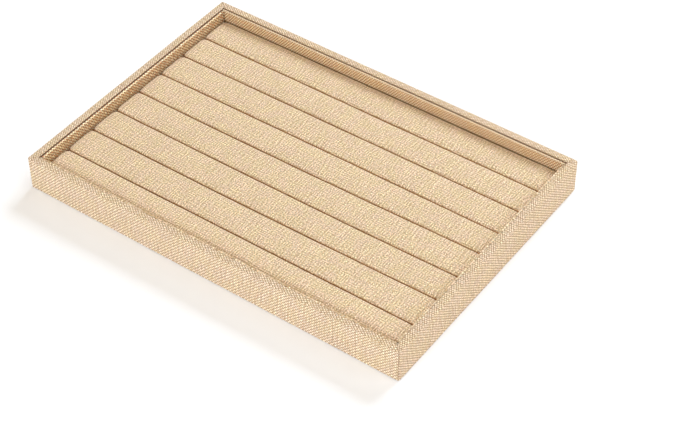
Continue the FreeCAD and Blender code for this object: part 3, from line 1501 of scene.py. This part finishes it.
@dataclass
class RingPad:
    """The eight rolls, filled together by one cloth simulation."""

    frames: int = 20
    pressure: float = 4.0
    quality: int = 6
    cloth_mass: float = 0.002
    stretch_stiffness: float = 20.0
    shear_stiffness: float = 8.0
    bending_stiffness: float = 0.6
    glue_height: float = 0.3 * MM

    def make_cloth(self, sleeve: bpy.types.Object) -> None:
        """Puts the cloth modifier on a sleeve and glues its foot.

        Args:
            sleeve: The sleeve.
        """
        heights = mesh_points(sleeve.data)[:, 2]
        glued = np.flatnonzero(heights < heights.min() + self.glue_height)
        sleeve.vertex_groups.new(name="glued").add(glued.tolist(), 1.0, "REPLACE")
        cloth = sleeve.modifiers.new("fill", "CLOTH").settings
        cloth.quality = self.quality
        cloth.mass = self.cloth_mass
        cloth.tension_stiffness = self.stretch_stiffness
        cloth.compression_stiffness = self.stretch_stiffness
        cloth.shear_stiffness = self.shear_stiffness
        cloth.bending_stiffness = self.bending_stiffness
        cloth.use_pressure = True
        cloth.uniform_pressure_force = self.pressure
        cloth.vertex_group_mass = "glued"
        cloth.effector_weights.gravity = 0.0

    def fill(self, rolls: list[Roll], sleeves: list[bpy.types.Object]) -> None:
        """Swells the sleeves against their foam by cloth simulation, with each foot glued down.

        The swelling is scaled down to the roll's most_swell, and further towards the slots,
        where the neighbours hold the sides in.

        Args:
            rolls: The rolls.
            sleeves: Their sleeves, in the same order.
        """
        scene = bpy.context.scene
        for sleeve in sleeves:
            self.make_cloth(sleeve)
        for number in range(1, self.frames + 1):
            scene.frame_set(number)
        graph = bpy.context.evaluated_depsgraph_get()
        for roll, sleeve in zip(rolls, sleeves):
            rest = mesh_points(sleeve.data)
            move = mesh_points(sleeve.evaluated_get(graph).data) - rest
            most = np.linalg.norm(move, axis=1).max()
            log.info("%s swells by up to %.2f mm", sleeve.name, most / MM)
            move *= min(1.0, roll.most_swell / most)
            move[:, 1] *= roll.side_swell
            sleeve.modifiers.clear()
            sleeve.data.vertices.foreach_set("co", (rest + move).ravel())
            sleeve.data.update()
        scene.frame_set(1)

    def build(self, finishes: Finishes) -> list[bpy.types.Object]:
        """Makes the rolls.

        Args:
            finishes: The materials.

        Returns:
            The sleeves.
        """
        rolls = [Roll(number) for number in range(1, ROLL_COUNT + 1)]
        sleeves = [roll.sleeve() for roll in rolls]
        self.fill(rolls, sleeves)
        for roll, sleeve in zip(rolls, sleeves):
            finer = sleeve.modifiers.new("finer", "SUBSURF")
            finer.levels = 1
            finer.render_levels = 1
            finer.uv_smooth = "NONE"
            finishes.fit(sleeve, f"roll_sleeve_{roll.number}", Body.RING_PAD)
            roll.strip(finishes)
        return sleeves


COOL = (0.895, 1.019, 1.190)
FAINTLY_COOL = (0.94, 1.01, 1.14)
WHITE = (1.0, 1.0, 1.0)


@dataclass(frozen=True)
class Lamp:
    """Soft rectangular lamp that points at the tray and isn't seen itself."""

    name: str
    place: tuple[float, float, float]
    power: float
    colour: Colour = WHITE
    width: float = 1.2
    height: float = 0.024

    def build(self) -> None:
        """Adds the lamp to the scene."""
        data = bpy.data.lights.new(self.name, "AREA")
        data.shape = "RECTANGLE"
        data.size = self.width
        data.size_y = self.height
        data.energy = self.power
        data.color = self.colour
        lamp = bpy.data.objects.new(self.name, data)
        lamp.location = self.place
        lamp.rotation_mode = "QUATERNION"
        lamp.rotation_quaternion = (-lamp.location).to_track_quat("-Z", "Y")
        lamp.visible_camera = False
        bpy.context.scene.collection.objects.link(lamp)


@dataclass
class Studio:
    """White studio: a pale floor, wide soft lamps above, low strips beside the tray, an even sky.

    The sky is warm and the lamps are cool, so that together they are near white.
    """

    azimuth: float = 36.345
    elevation: float = 43.779
    roll: float = -0.742
    place: tuple[float, float, float] = (0.650035, -0.835939, 0.990145)
    lens: float = 99.40
    sensor: float = 36.0
    furthest: float = 50.0
    floor_reach: float = 6.0
    floor_white: float = 0.86
    floor_glow: float = 0.12
    sky: float = 0.24
    sky_colour: Colour = (1.40, 0.93, 0.28)
    lamps: tuple[Lamp, ...] = (
        Lamp("rear_lamp", (0.0, 1.379, 1.157), 28.2, COOL, height=0.8),
        Lamp("front_lamp", (0.15, -1.391, 1.133), 17.2, COOL, height=0.35),
        Lamp("right_lamp", (1.34, 0.1, 1.204), 9.8, COOL, height=0.8),
        Lamp("front_strip", (0.0, -0.92, 0.016), 2.5, FAINTLY_COOL),
        Lamp("rear_strip", (0.0, 0.92, 0.016), 1.6),
        Lamp("left_strip", (-0.97, 0.0, 0.016), 2.2),
        Lamp("right_strip", (0.97, 0.0, 0.016), 1.7),
    )

    def camera(self) -> None:
        """Puts the camera at the photograph's place and angle."""
        angles = (self.azimuth, self.elevation, self.roll)
        around, above, lean = (math.radians(angle) for angle in angles)
        data = bpy.data.cameras.new("camera")
        data.lens = self.lens
        data.sensor_width = self.sensor
        data.clip_end = self.furthest
        camera = bpy.data.objects.new("camera", data)
        bpy.context.scene.collection.objects.link(camera)
        turn = Matrix.Rotation(around, 4, "Z") @ Matrix.Rotation(math.pi / 2 - above, 4, "X")
        turn = turn @ Matrix.Rotation(lean, 4, "Z")
        camera.matrix_world = Matrix.Translation(self.place) @ turn
        bpy.context.scene.camera = camera

    def seen_ray(self, tree: Tree) -> Signal:
        """Tells the rays that show the background from those that only light the tray.

        Args:
            tree: Tree of the floor or of the world.

        Returns:
            1 for rays from the camera, or by reflection or glass, else 0.
        """
        path = tree.node("ShaderNodeLightPath")
        names = ("Is Camera Ray", "Is Glossy Ray", "Is Transmission Ray")
        camera, glossy, through = (Signal(tree, path.outputs[name]) for name in names)
        return camera.larger(glossy).larger(through)

    def floor(self) -> None:
        """Lays the pale floor, which shows white where the tray doesn't shade it."""
        reach = self.floor_reach
        mesh = bpy.data.meshes.new("floor")
        corners = [(-reach, -reach, 0), (reach, -reach, 0), (reach, reach, 0), (-reach, reach, 0)]
        mesh.from_pydata(corners, [], [(0, 1, 2, 3)])
        floor = bpy.data.objects.new("floor", mesh)
        bpy.context.scene.collection.objects.link(floor)
        tree = Tree.of_material("pale_floor")
        matt = tree.node("ShaderNodeBsdfDiffuse", {}, {"Color": (self.floor_white,) * 3})
        strength = self.floor_glow * self.seen_ray(tree)
        glow = tree.node("ShaderNodeEmission", {}, {"Strength": strength})
        both = tree.node("ShaderNodeAddShader", {}, {0: matt.outputs[0], 1: glow.outputs[0]})
        tree.node("ShaderNodeOutputMaterial", {}, {"Surface": both.outputs[0]})
        mesh.materials.append(tree.owner)

    def light(self) -> None:
        """Sets the even sky, white where it is seen, and the lamps."""
        world = bpy.data.worlds.new("studio")
        bpy.context.scene.world = world
        tree = Tree(world)
        seen = self.seen_ray(tree)
        colour = tree.mix(seen, self.sky_colour, WHITE)
        strength = self.sky + (1.0 - self.sky) * seen
        sky = tree.node("ShaderNodeBackground", {}, {"Color": colour, "Strength": strength})
        tree.node("ShaderNodeOutputWorld", {}, {"Surface": sky.outputs[0]})
        for lamp in self.lamps:
            lamp.build()

    def build(self) -> None:
        """Makes the whole studio."""
        self.camera()
        self.floor()
        self.light()
        bpy.context.scene.view_settings.view_transform = "Standard"


def dress_frame(finishes: Finishes) -> None:
    """Dresses the boards, cards and pins, which stay as the frame has them.

    Args:
        finishes: The materials.
    """
    slots = {
        Slot.FIBREBOARD: ["base_panel", *(f"{side.word}_wall" for side in Side)],
        Slot.GREY_CARD: ["pad_board", *(f"{side.word}_liner_card" for side in Side)],
        Slot.PIN_STEEL: ["corner_pins"],
    }
    for slot, nodes in slots.items():
        for node in nodes:
            finishes.dress_node(node, slot)


def main() -> None:
    """Builds the tray and its studio."""
    logging.basicConfig(level=logging.INFO, format="%(name)s: %(message)s")
    Studio().build()
    sizes = Sizes.from_frame()
    finishes = Finishes()
    dress_frame(finishes)
    felt = FlatSheet("underside_felt", Slot.FELT, sizes, pressed=sizes.linen, border=10.7 * MM)
    made = [
        OuterCover(sizes).build(finishes),
        *(Lining(side, sizes).build(finishes) for side in Side),
        FlatSheet("floor_lining", Slot.LINEN, sizes).build(finishes),
        felt.build(finishes),
        *RingPad().build(finishes),
    ]
    for piece in made:
        log.info("built %s with %d faces", piece.name, len(piece.data.polygons))


if __name__ == "__main__":
    main()
